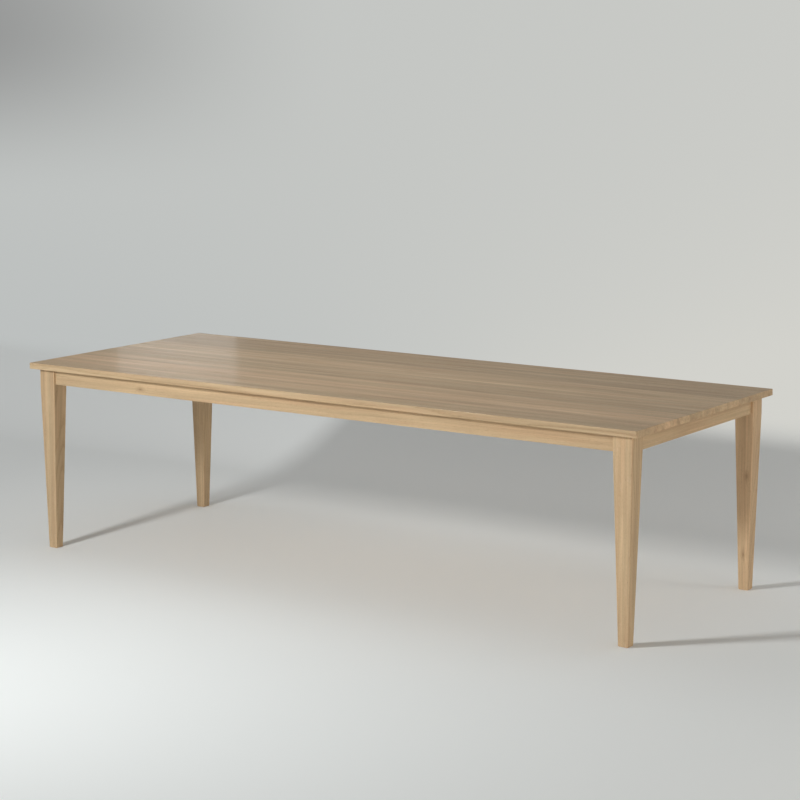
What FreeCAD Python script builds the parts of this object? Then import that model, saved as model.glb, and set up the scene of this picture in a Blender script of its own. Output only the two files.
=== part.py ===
# Refectory table in oak: a plank top on four tapered legs, joined by an apron frame.
# Millimetres. +X runs along the table, +Y towards its back and +Z up.
# The origin is on the floor under the middle of the top.
import FreeCAD, Part
import os
import re
import Sketcher

# Driving sizes
SIZES = {
    # The whole table
    "table_length": 2720,
    "table_width": 1060,
    "table_height": 750,
    # The plank top, with loose tongues in stopped grooves between its boards
    "top_thickness": 24,
    "board_count": 11,
    "top_arris": 2,
    "tongue_width": 16,
    "tongue_thickness": 6,
    "tongue_stop": 40,
    "tongue_clearance": 0.2,
    "joint_margin": 17,
    # How far the top stands out past the legs, at the ends and along the sides
    "end_overhang": 30,
    "side_overhang": 27,
    # Legs, square in section, straight behind the aprons and tapered below them
    "leg_square": 74,
    "leg_foot": 39,
    "leg_arris": 2,
    "foot_chamfer": 2,
    "taper_drop": 5,
    # Aprons, set back from the outer faces of the legs
    "apron_height": 60,
    "apron_thickness": 22,
    "apron_setback": 10,
    "apron_arris": 1.5,
    # Haunched tenons of the aprons, mitred where two of them meet inside a leg
    "tenon_thickness": 8,
    "tenon_shoulder": 6,
    "haunch_height": 15,
    "haunch_length": 10,
    "joint_clearance": 0.15,
    "mitre_gap": 1,
    # Groove along the inside of the aprons for the lips of the buttons
    "groove_drop": 12,
    "groove_height": 8,
    "groove_depth": 9,
    # Cross rails between the long aprons
    "rail_count": 3,
    "rail_thickness": 24,
    "rail_rise": 10,
    "rail_tenon_length": 12,
    "rail_tenon_thickness": 10,
    "rail_tenon_drop": 24,
    "rail_tenon_shoulder": 6,
    "rail_seat": 20,
    "rail_slot_play": 6,
    # Corner blocks behind the legs
    "block_thickness": 28,
    "block_leg_gap": 3,
    "block_drop": 12,
    "block_rise": 4,
    "block_seat": 10,
    "block_screw_wall": 1.75,
    "block_screw_bite": 12,
    # Wooden buttons that hold the top down
    "button_length": 34,
    "button_width": 26,
    "button_lip": 7,
    "button_reach": 6,
    "button_stand_off": 4,
    "button_pull_gap": 0.5,
    "button_hole_inset": 16,
    # Pan-head wood screws
    "screw_shank": 4,
    "screw_point": 5,
    "screw_tip": 0.8,
    "screw_head": 8,
    "screw_head_height": 2.8,
    "screw_head_room": 1.5,
    "screw_hole_clearance": 0.5,
    "screw_pilot_clearance": 0.25,
    "top_bite": 13,
    "pilot_spare": 1,
}

# Lengths that follow from the driving sizes
LEG_LENGTH = "(table_height - top_thickness)"
TONGUE_DEPTH = "(tongue_width / 2 + tongue_clearance)"
APRON_INSET = "(apron_setback + apron_thickness)"
APRON_BOTTOM = f"({LEG_LENGTH} - apron_height)"
LONG_SHOULDER = "(table_length - 2 * (end_overhang + leg_square))"
END_SHOULDER = "(table_width - 2 * (side_overhang + leg_square))"
TENON_HEIGHT = "(apron_height - tenon_shoulder - haunch_height)"
TENON_CHEEK = "((apron_thickness - tenon_thickness) / 2)"
TENON_REACH = f"(leg_square - apron_setback - {TENON_CHEEK} - mitre_gap)"
CORNER_DEPTH = f"(leg_square - {APRON_INSET})"
RAIL_LENGTH = f"(table_width - 2 * (side_overhang + {APRON_INSET}))"
RAIL_HEIGHT = "(apron_height - rail_rise)"
RAIL_PITCH = f"({LONG_SHOULDER} / (rail_count + 1))"
BLOCK_NEAR = f"(2 * {CORNER_DEPTH} + block_leg_gap)"
BLOCK_FAR = f"({BLOCK_NEAR} + block_thickness * sqrt(2))"
BLOCK_HEIGHT = "(apron_height - block_drop - block_rise)"
BLOCK_SCREW = f"(({BLOCK_NEAR} + {BLOCK_FAR}) / 2)"
BUTTON_BOTTOM = "(groove_drop + button_lip)"
BUTTON_SCREW = "(button_stand_off + button_hole_inset)"
SIDE_BUTTON_Y = f"(side_overhang + {APRON_INSET} + {BUTTON_SCREW})"
END_BUTTON_X = f"(table_length / 2 - end_overhang - {APRON_INSET} - {BUTTON_SCREW})"
EDGE_BOARD = f"({SIDE_BUTTON_Y} + joint_margin)"
INNER_BOARD = f"((table_width - 2 * {EDGE_BOARD}) / (board_count - 2))"
HOLE_WIDTH = "(screw_shank + 2 * screw_hole_clearance)"
PILOT_WIDTH = "(screw_shank + 2 * screw_pilot_clearance)"
HEAD_ROOM_WIDTH = "(screw_head + 2 * screw_head_room)"
# In the corner blocks the upper screw stays below the button groove, with a wall of wood between them
GROOVE_BOTTOM = "(apron_height - groove_drop - groove_height)"
UPPER_SCREW = f"({GROOVE_BOTTOM} - block_rise - block_screw_wall - {PILOT_WIDTH} / 2)"
BLOCK_SCREW_HEIGHTS = (f"({UPPER_SCREW} * 3 / 8)", UPPER_SCREW)

UP = FreeCAD.Vector(0, 0, 1)
# Edges nearer than this to a plane lie on it, and a cut smaller than this is none
SAME_PLACE = 0.001
SMALLEST_CUT = 1

doc = FreeCAD.newDocument("refectory_table")
sheet = doc.addObject("Spreadsheet::Sheet", "Sizes")
for row, (size_name, size_value) in enumerate(SIZES.items(), start=1):
    sheet.set(f"A{row}", size_name)
    sheet.set(f"B{row}", str(size_value))
    sheet.setAlias(f"B{row}", size_name)
doc.recompute()

board_count = int(sheet.get("board_count"))
rail_count = int(sheet.get("rail_count"))
sub_parts = []


# Small helpers: a text such as "table_height - top_thickness" names cells of the sheet
def cells(text):
    return re.sub(r"[a-z_]+", lambda word: f"Sizes.{word[0]}" if word[0] in SIZES else word[0], text)


def bind(item, path, text):
    item.setExpression(path, cells(text))


def measure(text):
    return float(sheet.evalExpression(cells(text)))


def place(item, x, y, z, turn=0):
    item.Placement = FreeCAD.Placement(FreeCAD.Vector(), FreeCAD.Rotation(UP, turn))
    for axis, text in zip("xyz", (x, y, z)):
        bind(item, f"Placement.Base.{axis}", text)


def new_body(label):
    body = doc.addObject("PartDesign::Body", label)
    body.Label = label
    return body


# Sketches: every point is held by its distances from the sketch's origin
def new_sketch(body, name, plane="XY_Plane", offset="0"):
    sketch = body.newObject("Sketcher::SketchObject", name)
    origin_plane = next(item for item in body.Origin.OriginFeatures if item.Role == plane)
    sketch.AttachmentSupport = [(origin_plane, "")]
    sketch.MapMode = "FlatFace"
    bind(sketch, "AttachmentOffset.Base.z", offset)
    return sketch


def hold(sketch, kind, where, text):
    index = sketch.addConstraint(Sketcher.Constraint(kind, *where, measure(text)))
    bind(sketch, f"Constraints[{index}]", text)


def hold_point(sketch, geometry, point, x, y):
    hold(sketch, "DistanceX", (-1, 1, geometry, point), x)
    hold(sketch, "DistanceY", (-1, 1, geometry, point), y)


def add_outline(sketch, corners):
    points = [FreeCAD.Vector(measure(x), measure(y), 0) for x, y in corners]
    first = sketch.GeometryCount
    for start, end in zip(points, points[1:] + points[:1]):
        sketch.addGeometry(Part.LineSegment(start, end))
    for side in range(len(points)):
        following = (side + 1) % len(points)
        sketch.addConstraint(Sketcher.Constraint("Coincident", first + side, 2, first + following, 1))
    for side, (x, y) in enumerate(corners):
        hold_point(sketch, first + side, 1, x, y)


def add_rectangle(sketch, left, bottom, right, top):
    add_outline(sketch, [(left, bottom), (right, bottom), (right, top), (left, top)])


# A rectangle about (x, y) with its corners cut off at 45 degrees
def add_eased_rectangle(sketch, x, y, length, width, corner):
    flat_x = f"(({length}) / 2 - ({corner}))"
    flat_y = f"(({width}) / 2 - ({corner}))"
    side_x = f"({length}) / 2"
    side_y = f"({width}) / 2"
    add_outline(sketch, [(f"{x} - {flat_x}", f"{y} - {side_y}"), (f"{x} + {flat_x}", f"{y} - {side_y}"),
                         (f"{x} + {side_x}", f"{y} - {flat_y}"), (f"{x} + {side_x}", f"{y} + {flat_y}"),
                         (f"{x} + {flat_x}", f"{y} + {side_y}"), (f"{x} - {flat_x}", f"{y} + {side_y}"),
                         (f"{x} - {side_x}", f"{y} + {flat_y}"), (f"{x} - {side_x}", f"{y} - {flat_y}")])


# Screws and their holes are small and many, so each is an octagon; play makes a hole into a slot
def octagon_corner(width):
    return f"{width} * (1 - sqrt(0.5))"


def add_octagon(sketch, x, y, width, play="0"):
    add_eased_rectangle(sketch, x, y, f"{width} + {play}", width, octagon_corner(width))


# Features
def pad(body, name, sketch, length):
    feature = body.newObject("PartDesign::Pad", name)
    feature.Profile = sketch
    bind(feature, "Length", length)
    return feature


def pocket(body, name, sketch, depth, along_normal=True):
    feature = body.newObject("PartDesign::Pocket", name)
    feature.Profile = sketch
    feature.Reversed = along_normal
    bind(feature, "Length", depth)
    return feature


def ease(body, name, base, radius, wanted):
    doc.recompute()
    edges = [f"Edge{number}" for number, edge in enumerate(base.Shape.Edges, start=1) if wanted(edge)]
    fillet = body.newObject("PartDesign::Fillet", name)
    fillet.Base = (base, edges)
    bind(fillet, "Radius", radius)
    return fillet


def lies_at(edge, axis, text):
    low = getattr(edge.BoundBox, f"{axis}Min")
    high = getattr(edge.BoundBox, f"{axis}Max")
    return high - low < SAME_PLACE and abs(low - measure(text)) < SAME_PLACE


# Where the boards and the fasteners of the top lie; the outer boards reach past the button screws
def is_outer(board):
    return board in (0, board_count - 1)


def board_width(board):
    return EDGE_BOARD if is_outer(board) else INNER_BOARD


def board_start(board):
    if board == 0:
        return "(-table_width / 2)"
    return f"({EDGE_BOARD} + ({board} - 1) * {INNER_BOARD} - table_width / 2)"


def board_centre(board):
    return f"({board_start(board)} + {board_width(board)} / 2)"


def bay_centre(bay):
    return f"(({bay} + 0.5) * {RAIL_PITCH} - {LONG_SHOULDER} / 2)"


def rail_place(rail):
    return f"(({rail} + 1) * {RAIL_PITCH} - {LONG_SHOULDER} / 2)"


RAIL_SCREW_BOARDS = (1, (board_count - 1) // 2, board_count - 2)
END_BUTTON_BOARDS = (2, board_count - 3)


# Top boards: eased along the outline of the top, grooved for the tongues, drilled for the screws
def top_pilots(board):
    holes = []
    if is_outer(board):
        side_line = SIDE_BUTTON_Y if board == 0 else "joint_margin"
        holes += [(bay_centre(bay), side_line) for bay in range(rail_count + 1)]
    middle_line = f"{board_width(board)} / 2"
    if board in END_BUTTON_BOARDS:
        holes += [(END_BUTTON_X, middle_line), (f"-{END_BUTTON_X}", middle_line)]
    if board in RAIL_SCREW_BOARDS:
        holes += [(rail_place(rail), middle_line) for rail in range(rail_count)]
    return holes


def make_top_board(board):
    body = new_body(f"top_board_{board + 1}")
    width = board_width(board)
    plank = new_sketch(body, "plank")
    add_rectangle(plank, "-table_length / 2", "0", "table_length / 2", width)
    blank = pad(body, "blank", plank, "top_thickness")

    def on_outline(edge):
        ends = lies_at(edge, "X", "table_length / 2") or lies_at(edge, "X", "-table_length / 2")
        front = board == 0 and lies_at(edge, "Y", "0")
        back = board == board_count - 1 and lies_at(edge, "Y", width)
        upright = edge.BoundBox.ZLength > measure("top_thickness") / 2
        return front or back or (ends and not upright)

    ease(body, "eased_outline", blank, "top_arris", on_outline)
    grooves = new_sketch(body, "grooves", offset="(top_thickness - tongue_thickness) / 2 - tongue_clearance")
    stop = "(table_length / 2 - tongue_stop)"
    if board > 0:
        add_rectangle(grooves, f"-{stop}", "0", stop, TONGUE_DEPTH)
    if board < board_count - 1:
        add_rectangle(grooves, f"-{stop}", f"{width} - {TONGUE_DEPTH}", stop, width)
    pocket(body, "tongue_grooves", grooves, "tongue_thickness + 2 * tongue_clearance")
    if top_pilots(board):
        pilots = new_sketch(body, "pilots")
        for x, y in top_pilots(board):
            add_octagon(pilots, x, y, PILOT_WIDTH)
        pocket(body, "pilot_holes", pilots, "top_bite + pilot_spare")
    place(body, "0", board_start(board), LEG_LENGTH)
    sub_parts.append(body)


def make_top_tongue(joint):
    tongue = doc.addObject("Part::Box", f"top_tongue_{joint}")
    bind(tongue, "Length", "table_length - 2 * (tongue_stop + tongue_clearance)")
    bind(tongue, "Width", "tongue_width")
    bind(tongue, "Height", "tongue_thickness")
    place(tongue, "tongue_stop + tongue_clearance - table_length / 2",
          f"{board_start(joint)} - tongue_width / 2",
          f"{LEG_LENGTH} + (top_thickness - tongue_thickness) / 2")
    sub_parts.append(tongue)


# Legs: one ruled loft through four eased squares, then the two mortises that meet inside
def add_ruled_loft(body, name, stages):
    sections = []
    for stage, height, side, corner in stages:
        section = new_sketch(body, stage, offset=height)
        add_eased_rectangle(section, "0", "0", side, side, corner)
        sections.append(section)
    loft = body.newObject("PartDesign::AdditiveLoft", name)
    loft.Profile = sections[0]
    loft.Sections = sections[1:]
    loft.Ruled = True


def make_leg(label, x, y, turn):
    body = new_body(label)
    add_ruled_loft(body, "taper", (("foot_tip", "0", "leg_foot - 2 * foot_chamfer", "leg_arris"),
                                   ("foot", "foot_chamfer", "leg_foot", "leg_arris"),
                                   ("knee", f"{APRON_BOTTOM} - taper_drop", "leg_square", "leg_arris"),
                                   ("head", LEG_LENGTH, "leg_square", "leg_arris")))

    face = "(leg_square / 2)"
    outer = f"(apron_setback + {TENON_CHEEK} - joint_clearance - leg_square / 2)"
    inner = f"({outer} + tenon_thickness + 2 * joint_clearance)"
    mortise_bottom = f"({APRON_BOTTOM} + tenon_shoulder - joint_clearance)"
    mortise = new_sketch(body, "mortise", offset=mortise_bottom)
    add_outline(mortise, [(face, outer), (face, inner), (inner, inner),
                          (inner, face), (outer, face), (outer, outer)])
    pocket(body, "meeting_mortises", mortise, f"{TENON_HEIGHT} + 2 * joint_clearance")
    haunch = new_sketch(body, "haunch", offset=f"{LEG_LENGTH} - haunch_height")
    haunch_stop = f"({face} - haunch_length - joint_clearance)"
    add_rectangle(haunch, haunch_stop, outer, face, inner)
    add_rectangle(haunch, outer, haunch_stop, inner, face)
    pocket(body, "haunch_sockets", haunch, "haunch_height")
    place(body, x, y, "0", turn)
    sub_parts.append(body)


# Aprons: a grooved bar with a haunched, mitred tenon at each end; its outer face is at y = 0
def make_apron(label, shoulder, x, y, turn, rails=0):
    body = new_body(label)
    section = new_sketch(body, "section", "YZ_Plane", f"-{shoulder} / 2")
    add_rectangle(section, "0", "0", "apron_thickness", "apron_height")
    bar = pad(body, "bar", section, shoulder)
    ease(body, "eased_underside", bar, "apron_arris",
         lambda edge: lies_at(edge, "Z", "0") and edge.BoundBox.XLength > 1)

    near_cheek = TENON_CHEEK
    far_cheek = f"({TENON_CHEEK} + tenon_thickness)"
    tenons = new_sketch(body, "tenons", offset="tenon_shoulder")
    haunches = new_sketch(body, "haunches", offset="apron_height - haunch_height")
    for way in ("", "-"):
        end = f"{way}({shoulder} / 2)"
        tip = f"{way}({shoulder} / 2 + {TENON_REACH})"
        heel = f"{way}({shoulder} / 2 + {TENON_REACH} - tenon_thickness)"
        haunch_end = f"{way}({shoulder} / 2 + haunch_length)"
        add_outline(tenons, [(end, near_cheek), (tip, near_cheek), (heel, far_cheek), (end, far_cheek)])
        add_rectangle(haunches, end, near_cheek, haunch_end, far_cheek)
    pad(body, "mitred_tenons", tenons, TENON_HEIGHT)
    pad(body, "tenon_haunches", haunches, "haunch_height")

    groove = new_sketch(body, "groove", offset=GROOVE_BOTTOM)
    add_rectangle(groove, f"-{shoulder} / 2", "apron_thickness - groove_depth",
                  f"{shoulder} / 2", "apron_thickness")
    pocket(body, "button_groove", groove, "groove_height")

    if rails:
        mortise_bottom = "rail_rise + rail_tenon_shoulder - joint_clearance"
        mortises = new_sketch(body, "rail_mortises", offset=mortise_bottom)
        half = "(rail_tenon_thickness / 2 + joint_clearance)"
        for rail in range(rails):
            add_rectangle(mortises, f"{rail_place(rail)} - {half}",
                          "apron_thickness - rail_tenon_length - joint_clearance",
                          f"{rail_place(rail)} + {half}", "apron_thickness")
        pocket(body, "rail_sockets", mortises,
               f"{RAIL_HEIGHT} - rail_tenon_drop - rail_tenon_shoulder + 2 * joint_clearance")

    pilots = new_sketch(body, "pilots", "XZ_Plane", "-apron_thickness")
    for way in ("", "-"):
        for height in BLOCK_SCREW_HEIGHTS:
            add_octagon(pilots, f"{way}({shoulder} / 2 + {CORNER_DEPTH} - {BLOCK_SCREW})",
                        f"block_rise + {height}", PILOT_WIDTH)
    pocket(body, "pilot_holes", pilots, "block_screw_bite + pilot_spare")
    place(body, x, y, APRON_BOTTOM, turn)
    sub_parts.append(body)


# Cross rails: stub-tenoned bars with slotted screw holes, so that the top can move across the grain
def make_cross_rail(label, rail):
    body = new_body(label)
    section = new_sketch(body, "section", "YZ_Plane", f"-{RAIL_LENGTH} / 2")
    add_rectangle(section, "-rail_thickness / 2", "0", "rail_thickness / 2", RAIL_HEIGHT)
    pad(body, "bar", section, RAIL_LENGTH)
    tenons = new_sketch(body, "tenons", offset="rail_tenon_shoulder")
    for way in ("", "-"):
        add_rectangle(tenons, f"{way}({RAIL_LENGTH} / 2)", "-rail_tenon_thickness / 2",
                      f"{way}({RAIL_LENGTH} / 2 + rail_tenon_length)", "rail_tenon_thickness / 2")
    pad(body, "stub_tenons", tenons, f"{RAIL_HEIGHT} - rail_tenon_drop - rail_tenon_shoulder")
    head_slots = new_sketch(body, "head_slots")
    shank_slots = new_sketch(body, "shank_slots", offset=f"{RAIL_HEIGHT} - rail_seat")
    for board in RAIL_SCREW_BOARDS:
        add_octagon(head_slots, board_centre(board), "0", HEAD_ROOM_WIDTH, "rail_slot_play")
        add_octagon(shank_slots, board_centre(board), "0", HOLE_WIDTH, "rail_slot_play")
    pocket(body, "head_room", head_slots, f"{RAIL_HEIGHT} - rail_seat")
    pocket(body, "shank_room", shank_slots, "rail_seat")
    place(body, rail_place(rail), "0", f"{APRON_BOTTOM} + rail_rise", 90)
    sub_parts.append(body)


# Corner blocks: bevelled to lie across the corner, with screws square to both aprons
def make_corner_block(label, x, y, turn):
    body = new_body(label)
    plan = new_sketch(body, "plan")
    add_outline(plan, [(BLOCK_NEAR, "0"), (BLOCK_FAR, "0"), ("0", BLOCK_FAR), ("0", BLOCK_NEAR)])
    pad(body, "block", plan, BLOCK_HEIGHT)
    for plane, way, along in (("YZ_Plane", "", True), ("XZ_Plane", "-", False)):
        side = plane[:2].lower()
        holes = new_sketch(body, f"holes_{side}", plane)
        heads = new_sketch(body, f"heads_{side}", plane, f"{way}block_seat")
        for height in BLOCK_SCREW_HEIGHTS:
            add_octagon(holes, BLOCK_SCREW, height, HOLE_WIDTH)
            add_octagon(heads, BLOCK_SCREW, height, HEAD_ROOM_WIDTH)
        pocket(body, f"screw_holes_{side}", holes, "block_seat", along)
        pocket(body, f"head_room_{side}", heads, BLOCK_FAR, along)
    place(body, x, y, f"{APRON_BOTTOM} + block_rise", turn)
    sub_parts.append(body)


# Fasteners: one pattern piece each, repeated by links and gathered into a group
def make_screw_pattern(name, length):
    body = new_body(name)
    point_start = f"{length} - screw_point"
    add_ruled_loft(body, "shank", (("neck", "0", "screw_shank", octagon_corner("screw_shank")),
                                   ("start", point_start, "screw_shank", octagon_corner("screw_shank")),
                                   ("tip", length, "screw_tip", octagon_corner("screw_tip"))))
    head = new_sketch(body, "head_outline", offset="-screw_head_height")
    add_octagon(head, "0", "0", "screw_head")
    pad(body, "head", head, "screw_head_height")
    return body


def make_button_pattern():
    body = new_body("button_pattern")
    side = new_sketch(body, "side", "XZ_Plane", "-button_width / 2")
    back = "(button_stand_off + button_length)"
    add_outline(side, [("button_stand_off", "-button_pull_gap"), (back, "-button_pull_gap"),
                       (back, f"-{BUTTON_BOTTOM}"), ("-button_reach", f"-{BUTTON_BOTTOM}"),
                       ("-button_reach", "-groove_drop"), ("button_stand_off", "-groove_drop")])
    pad(body, "blank", side, "button_width")
    hole = new_sketch(body, "hole", offset=f"-{BUTTON_BOTTOM}")
    add_octagon(hole, BUTTON_SCREW, "0", HOLE_WIDTH)
    pocket(body, "screw_hole", hole, BUTTON_BOTTOM)
    return body


def make_group(label, pattern, places):
    links = []
    for number, (x, y, z, rotation) in enumerate(places, start=1):
        link = doc.addObject("App::Link", f"{label}_{number}")
        link.LinkedObject = pattern
        place(link, x, y, z)
        link.Placement.Rotation = rotation
        links.append(link)
    group = doc.addObject("Part::Compound", label)
    group.Links = links
    sub_parts.append(group)


def about_z(turn):
    return FreeCAD.Rotation(UP, turn)


# The screw patterns point up; these rotations lay them along the floor, then turn them
def lying(turn):
    return about_z(turn).multiply(FreeCAD.Rotation(FreeCAD.Vector(0, 1, 0), 90))


# Corners in turn, each a quarter turn on from the one before
CORNERS = (("front_left", "-", "-", 0), ("front_right", "", "-", 90),
           ("back_right", "", "", 180), ("back_left", "-", "", 270))

for number in range(board_count):
    make_top_board(number)
for number in range(1, board_count):
    make_top_tongue(number)

for corner, x_way, y_way, quarter_turn in CORNERS:
    make_leg(f"{corner}_leg", f"{x_way}(table_length / 2 - end_overhang - leg_square / 2)",
             f"{y_way}(table_width / 2 - side_overhang - leg_square / 2)", quarter_turn)

apron_x = "(table_length / 2 - end_overhang - apron_setback)"
apron_y = "(table_width / 2 - side_overhang - apron_setback)"
make_apron("front_apron", LONG_SHOULDER, "0", f"-{apron_y}", 0, rail_count)
make_apron("back_apron", LONG_SHOULDER, "0", apron_y, 180, rail_count)
make_apron("left_apron", END_SHOULDER, f"-{apron_x}", "0", 270)
make_apron("right_apron", END_SHOULDER, apron_x, "0", 90)

for number in range(rail_count):
    make_cross_rail(f"cross_rail_{number + 1}", number)

inside_x = f"(table_length / 2 - end_overhang - {APRON_INSET})"
inside_y = f"(table_width / 2 - side_overhang - {APRON_INSET})"
for corner, x_way, y_way, quarter_turn in CORNERS:
    make_corner_block(f"{corner}_block", f"{x_way}{inside_x}", f"{y_way}{inside_y}", quarter_turn)

# Buttons: one in the middle of each bay of the long aprons, two at each end
button_seats = [(bay_centre(bay), f"-{inside_y}", 90) for bay in range(rail_count + 1)]
button_seats += [(bay_centre(bay), inside_y, 270) for bay in range(rail_count + 1)]
button_seats += [(f"-{inside_x}", board_centre(board), 0) for board in END_BUTTON_BOARDS]
button_seats += [(inside_x, board_centre(board), 180) for board in END_BUTTON_BOARDS]
make_group("top_buttons", make_button_pattern(),
           [(x, y, LEG_LENGTH, about_z(turn)) for x, y, turn in button_seats])

SCREW_STEP = {0: (BUTTON_SCREW, "0"), 90: ("0", BUTTON_SCREW), 180: (f"-{BUTTON_SCREW}", "0"),
              270: ("0", f"-{BUTTON_SCREW}")}
make_group("button_screws", make_screw_pattern("button_screw_pattern", f"({BUTTON_BOTTOM} + top_bite)"),
           [(f"{x} + {SCREW_STEP[turn][0]}", f"{y} + {SCREW_STEP[turn][1]}",
             f"{LEG_LENGTH} - {BUTTON_BOTTOM}", about_z(0)) for x, y, turn in button_seats])
make_group("rail_screws", make_screw_pattern("rail_screw_pattern", "(rail_seat + top_bite)"),
           [(rail_place(rail), board_centre(board), f"{LEG_LENGTH} - rail_seat", about_z(0))
            for rail in range(rail_count) for board in RAIL_SCREW_BOARDS])

block_screw_places = []
for corner, x_way, y_way, quarter_turn in CORNERS:
    x_inward = "-" if x_way == "" else "+"
    y_inward = "-" if y_way == "" else "+"
    x_turn = 0 if x_way == "" else 180
    y_turn = 90 if y_way == "" else 270
    for height in BLOCK_SCREW_HEIGHTS:
        screw_z = f"{APRON_BOTTOM} + block_rise + {height}"
        block_screw_places.append((f"{x_way}{inside_x} {x_inward} block_seat",
                                   f"{y_way}{inside_y} {y_inward} {BLOCK_SCREW}", screw_z, lying(x_turn)))
        block_screw_places.append((f"{x_way}{inside_x} {x_inward} {BLOCK_SCREW}",
                                   f"{y_way}{inside_y} {y_inward} block_seat", screw_z, lying(y_turn)))
make_group("block_screws", make_screw_pattern("block_screw_pattern", "(block_seat + block_screw_bite)"),
           block_screw_places)

doc.recompute()

# Nothing is written unless every object came out whole
for item in doc.Objects:
    if "Invalid" in item.State or "Error" in item.State:
        raise RuntimeError(f"{item.Label} failed: {item.State}")
    if item.TypeId == "PartDesign::Pocket":
        removed = item.BaseFeature.Shape.Volume - item.Shape.Volume
        if removed < SMALLEST_CUT:
            raise RuntimeError(f"{item.Label} cuts nothing")
for item in sub_parts:
    if item.Shape.isNull() or not item.Shape.isValid() or not item.Shape.Solids:
        raise RuntimeError(f"{item.Label} has no sound solid")

os.makedirs("parts", exist_ok=True)
for item in sub_parts:
    item.Shape.exportStep(f"parts/{item.Label}.step")
    print(f"{item.Label}: {len(item.Shape.Solids)} solid(s), {item.Shape.Volume / 1000:.1f} cm3")
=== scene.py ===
# %% [markdown]
# # A long oak dining table, dressed for its portrait
# The table was drawn and joined in a CAD program: every board, leg, rail and screw is already there as a
# solid, in metres, standing where it belongs. This lesson adds what a drawing lacks: the oak itself, its
# grain, pores and finish, screws with a real thread and recess, and the studio round the table. We could
# model everything again in Blender, but then the two models would slowly drift apart. Loading the drawing
# as a fixed frame keeps every joint where the joiner put it.

# %% Load the joined table
import math
import random

import bmesh
import bpy
from mathutils import Matrix, Vector


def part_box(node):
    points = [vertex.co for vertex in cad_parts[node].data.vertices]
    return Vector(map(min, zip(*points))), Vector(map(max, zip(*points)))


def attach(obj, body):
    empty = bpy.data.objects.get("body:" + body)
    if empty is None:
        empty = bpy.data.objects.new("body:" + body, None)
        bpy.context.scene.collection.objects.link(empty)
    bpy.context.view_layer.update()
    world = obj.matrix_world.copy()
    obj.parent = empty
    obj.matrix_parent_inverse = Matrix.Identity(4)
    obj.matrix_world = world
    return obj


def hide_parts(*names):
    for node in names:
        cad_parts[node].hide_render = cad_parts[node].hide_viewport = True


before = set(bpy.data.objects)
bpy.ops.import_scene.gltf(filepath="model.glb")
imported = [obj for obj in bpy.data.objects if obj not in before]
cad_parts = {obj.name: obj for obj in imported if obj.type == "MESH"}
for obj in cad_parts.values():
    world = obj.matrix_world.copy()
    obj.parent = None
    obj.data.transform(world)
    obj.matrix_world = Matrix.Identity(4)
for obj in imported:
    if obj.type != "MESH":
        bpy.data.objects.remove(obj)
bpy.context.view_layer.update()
print("pieces loaded:", len(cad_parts))

# %% [markdown]
# ## Where the photographer stood
# The portrait looks at the table from its front right corner, from a little above its top, through a long
# lens. We could turn the camera by eye until it looks right. Here its place and angles were worked out
# from the corners of the top and the feet, which the drawing gives exactly. A little vertical shift, as on
# an architect's camera, keeps the legs nearly upright in the picture.

# %% Set up the camera
CAMERA_PLACE = (4.754, -6.931, 2.061)
CAMERA_DOWN = math.radians(6.41)
CAMERA_TURN = math.radians(34.11)
LENS_LENGTH = 99.86
LENS_SHIFT = -0.15
TABLE_MIDDLE = Vector((0.0, 0.0, 0.4))

lens = bpy.data.cameras.new("long_lens")
lens.lens = LENS_LENGTH
lens.shift_y = LENS_SHIFT
camera = bpy.data.objects.new("camera", lens)
camera.location = CAMERA_PLACE
camera.rotation_euler = (math.pi / 2 - CAMERA_DOWN, 0, CAMERA_TURN)
bpy.context.collection.objects.link(camera)
bpy.context.scene.camera = camera
bpy.context.scene.view_settings.view_transform = "Standard"
print("camera stands", round((camera.location - TABLE_MIDDLE).length, 2), "m from the table")

# %% [markdown]
# ## Helpers for node trees
# A procedural material is a chain of small steps: noise, a sum, a mix. Wiring each by hand takes several
# lines, and the idea gets lost. Four helpers keep one step on one line: the first adds any node and sets
# or links its inputs, the next two do a single sum on numbers or on vectors, and the last makes a soft
# step between two limits.

# %% Make the wiring helpers
def add_node(tree, kind, inputs, **options):
    """Add a node, set its options, and set or link each input, named or numbered."""
    node = tree.nodes.new(kind)
    for option, value in options.items():
        setattr(node, option, value)
    for key, value in inputs.items():
        if isinstance(value, bpy.types.NodeSocket):
            tree.links.new(value, node.inputs[key])
        else:
            node.inputs[key].default_value = value
    return node


def work_out(tree, operation, first, second=0.0, third=0.0):
    """One sum on up to three numbers or sockets."""
    inputs = {0: first, 1: second, 2: third}
    return add_node(tree, "ShaderNodeMath", inputs, operation=operation).outputs[0]


def vector_work(tree, operation, first, second=(0.0, 0.0, 0.0)):
    """One sum on one or two vectors or sockets."""
    return add_node(tree, "ShaderNodeVectorMath", {0: first, 1: second}, operation=operation).outputs[0]


def fade(tree, value, start, end, low=0.0, high=1.0):
    """A soft step from low to high while value goes from start to end."""
    inputs = {"Value": value, "From Min": start, "From Max": end, "To Min": low, "To Max": high}
    return add_node(tree, "ShaderNodeMapRange", inputs, interpolation_type="SMOOTHSTEP").outputs[0]


print("wiring helpers ready")
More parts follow.
